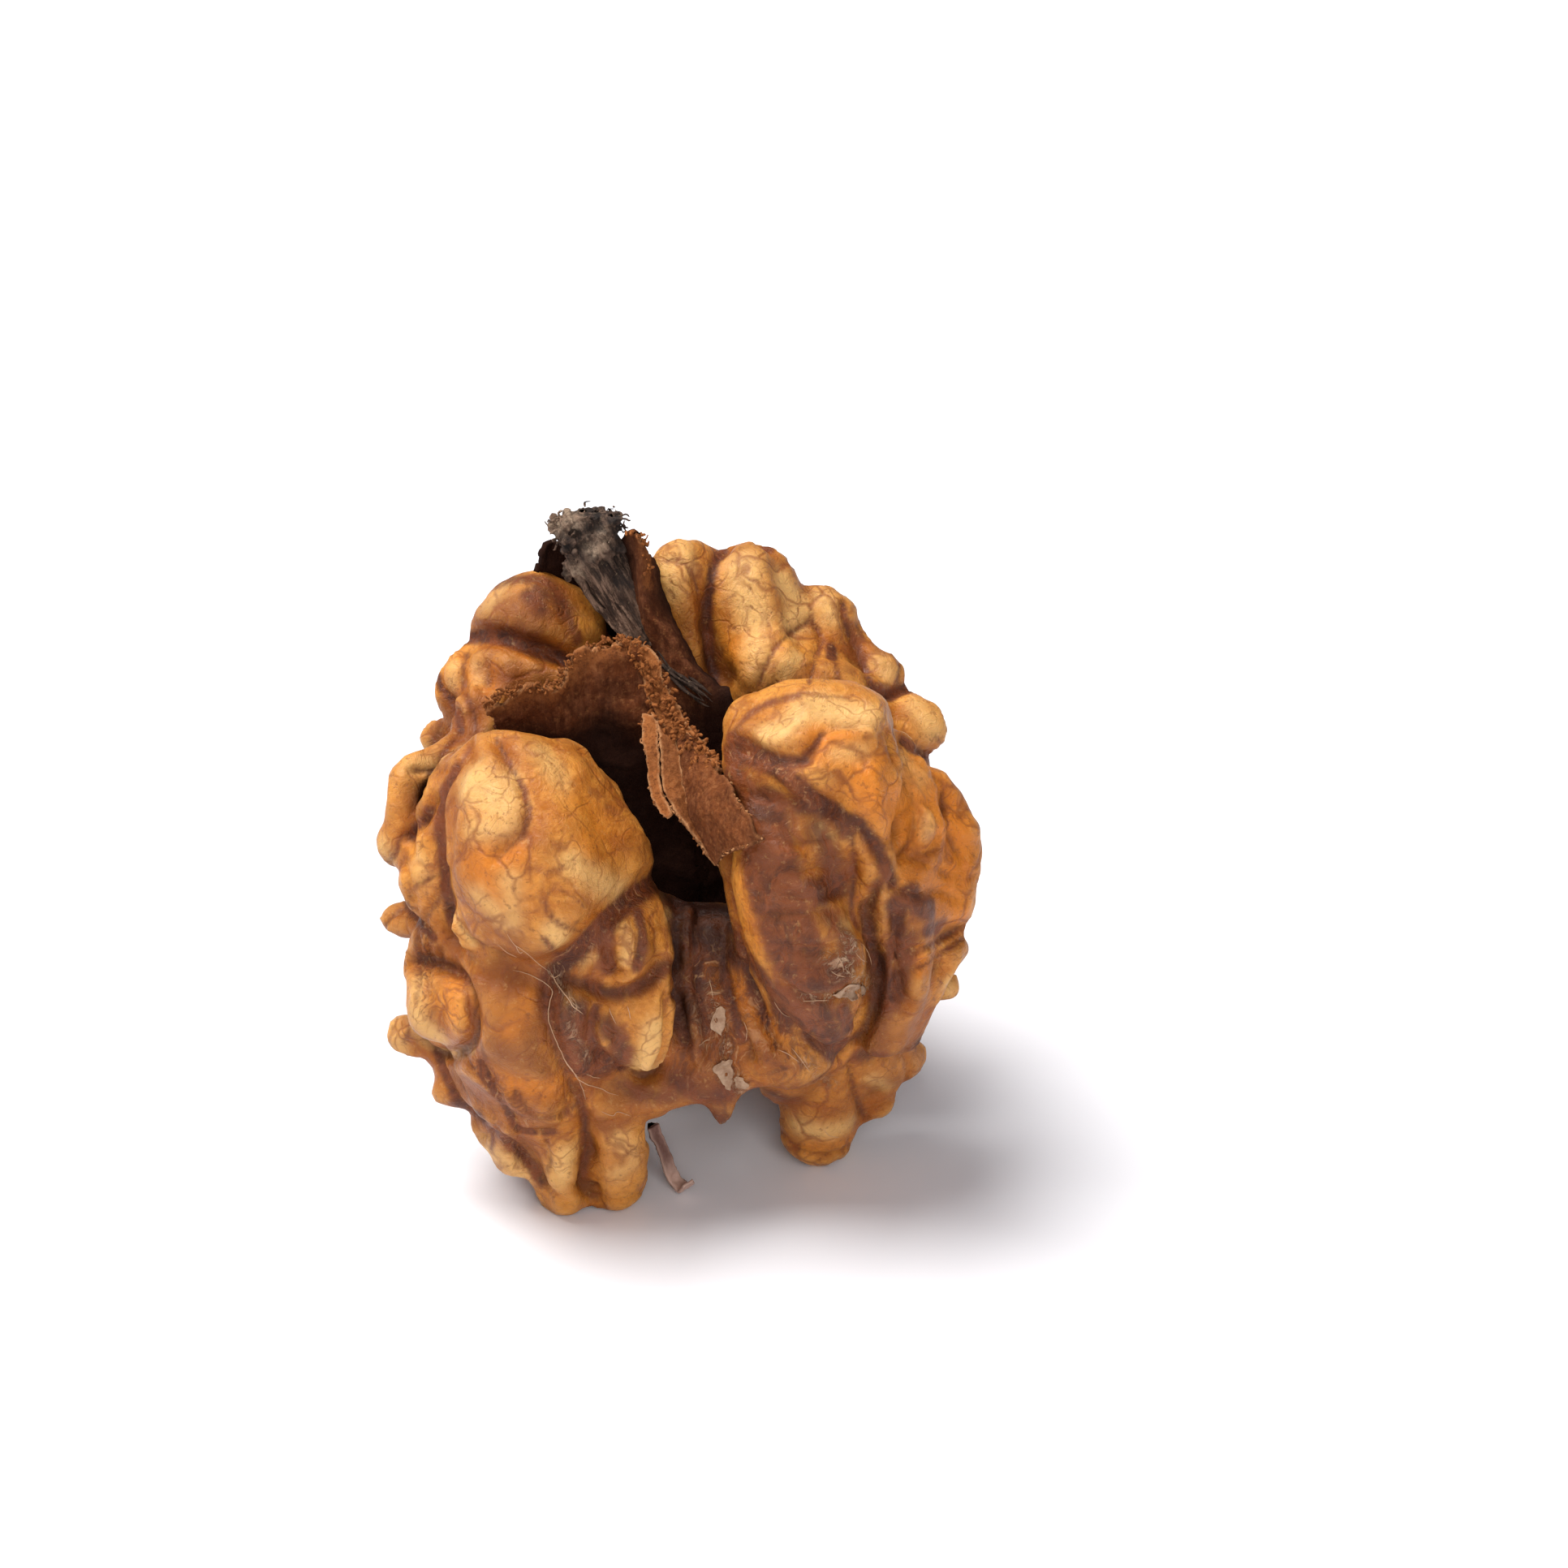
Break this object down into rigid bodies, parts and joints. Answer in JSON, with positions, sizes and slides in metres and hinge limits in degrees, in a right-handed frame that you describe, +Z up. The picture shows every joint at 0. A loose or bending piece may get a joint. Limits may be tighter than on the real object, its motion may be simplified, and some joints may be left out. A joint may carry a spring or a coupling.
{
  "type": "shelled walnut kernel",
  "caption": "Whole walnut kernel out of its shell: folded lobes joined by a web, a torn papery partition between them and a dark dry strand on top.",
  "frame": {"origin": "centre of the bounding box in plan, on the plane that the lobes rest on", "axes": "+Z up through the stem end, -Y towards the side that the picture shows, +X to its right"},
  "size_m": [0.0338, 0.0292, 0.0375],
  "materials": {
    "kernel": "thin glossy skin, cream yellow to amber with brown veins",
    "septum": "dry papery sheet, matte reddish brown",
    "stalk": "dry stringy fibre, matte grey black",
    "skin_curl": "dry curled skin, matte pinkish brown"
  },
  "bodies": {
    "root": {"kernel": "kernel", "septum": "septum", "stalk": "stalk", "skin_curl": "skin_curl"}
  },
  "joints": []
}
